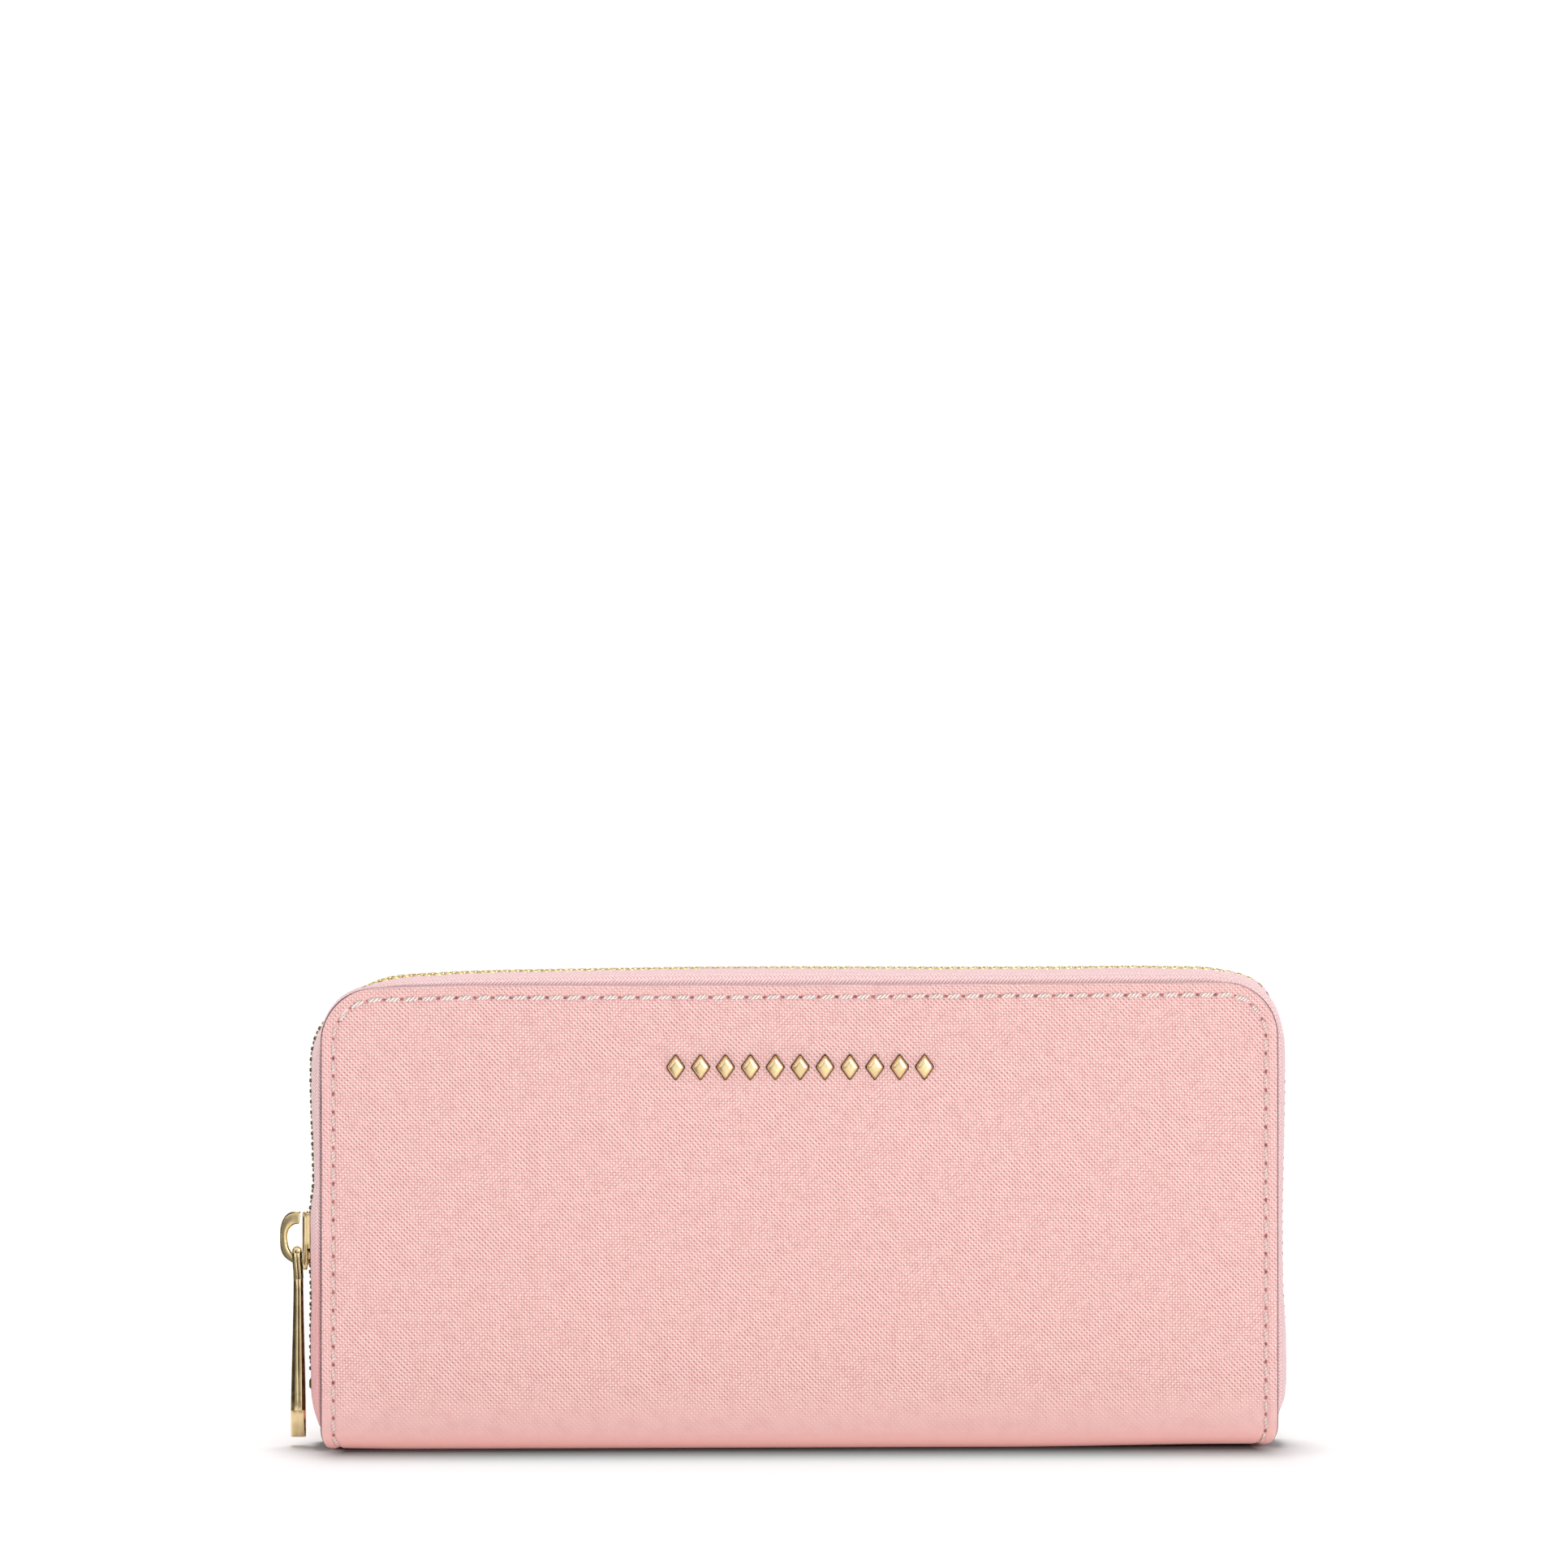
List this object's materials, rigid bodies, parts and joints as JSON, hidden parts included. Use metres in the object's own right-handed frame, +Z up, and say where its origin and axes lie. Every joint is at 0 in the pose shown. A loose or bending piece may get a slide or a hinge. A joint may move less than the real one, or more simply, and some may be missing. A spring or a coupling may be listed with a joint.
{
  "type": "zip-around wallet",
  "caption": "Zip-around leather wallet standing on its spine: folding covers, sliding zip pullers, card pockets, pleated gussets and a zipped coin pocket inside.",
  "frame": {"origin": "middle of the spine's underside, on the surface the wallet stands on", "axes": "+Z up from the spine to the zip's top run, +X along the width towards the end without the slider, -Y out of the front cover with the studs"},
  "size_m": [0.2077, 0.0263, 0.098],
  "materials": {
    "leather": "cross-hatched grain, semi-matt",
    "pocket_leather": "cross-hatched grain, semi-matt",
    "lining": "woven twill, matt",
    "zip_tape": "herringbone weave, matt",
    "thread": "twisted thread, matt",
    "gold_metal": "polished pale gold plating",
    "grey_board": "matt greyboard"
  },
  "bodies": {
    "spine": {"spine_cover": "leather", "spine_lining": "lining", "front_left_gusset": "lining", "front_right_gusset": "lining", "back_left_gusset": "lining", "back_right_gusset": "lining", "coin_pocket_front": "pocket_leather", "coin_pocket_back": "pocket_leather", "coin_pocket_lining": "lining", "coin_pocket_gusset": "lining", "coin_zip_tapes": "zip_tape", "coin_zip_teeth": "gold_metal", "coin_zip_stops": "gold_metal"},
    "front_half": {"front_cover": "leather", "front_board": "grey_board", "front_lining": "lining", "front_seam_thread": "thread", "front_zip_tape": "zip_tape", "front_zip_teeth": "gold_metal", "front_zip_stops": "gold_metal", "front_card_pocket_1": "pocket_leather", "front_card_pocket_2": "pocket_leather", "front_card_pocket_3": "pocket_leather", "front_card_pocket_4": "pocket_leather", "front_studs": "gold_metal"},
    "back_half": {"back_cover": "leather", "back_board": "grey_board", "back_lining": "lining", "back_seam_thread": "thread", "back_zip_tape": "zip_tape", "back_zip_teeth": "gold_metal", "back_zip_stops": "gold_metal", "back_card_pocket_1": "pocket_leather", "back_card_pocket_2": "pocket_leather", "back_card_pocket_3": "pocket_leather", "back_card_pocket_4": "pocket_leather"},
    "zip_slider": {"zip_slider": "gold_metal", "zip_slider_bridge": "gold_metal"},
    "zip_puller": {"zip_puller": "gold_metal"},
    "coin_slider": {"coin_slider": "gold_metal", "coin_slider_bridge": "gold_metal"},
    "coin_puller": {"coin_puller": "gold_metal"}
  },
  "joints": [
    {"name": "front_fold", "type": "hinge", "parent": "spine", "child": "front_half", "pos_m": [0, -0.0075, 0.005], "axis": [1, 0, 0], "range_deg": [0, 25]},
    {"name": "back_fold", "type": "hinge", "parent": "spine", "child": "back_half", "pos_m": [0, 0.0075, 0.005], "axis": [-1, 0, 0], "range_deg": [0, 25]},
    {"name": "zip_slide", "type": "slide", "parent": "back_half", "child": "zip_slider", "axis": [0, 0, 1], "range_m": [-0.0025, 0.033]},
    {"name": "zip_puller_swing", "type": "hinge", "parent": "zip_slider", "child": "zip_puller", "pos_m": [-0.1032, 0, 0.0403], "axis": [0, 1, 0], "range_deg": [0, 120]},
    {"name": "coin_zip_slide", "type": "slide", "parent": "spine", "child": "coin_slider", "axis": [1, 0, 0], "range_m": [0, 0.15]},
    {"name": "coin_puller_swing", "type": "hinge", "parent": "coin_slider", "child": "coin_puller", "pos_m": [-0.07428, 0, 0.0765], "axis": [0, -1, 0], "range_deg": [0, 130]}
  ]
}
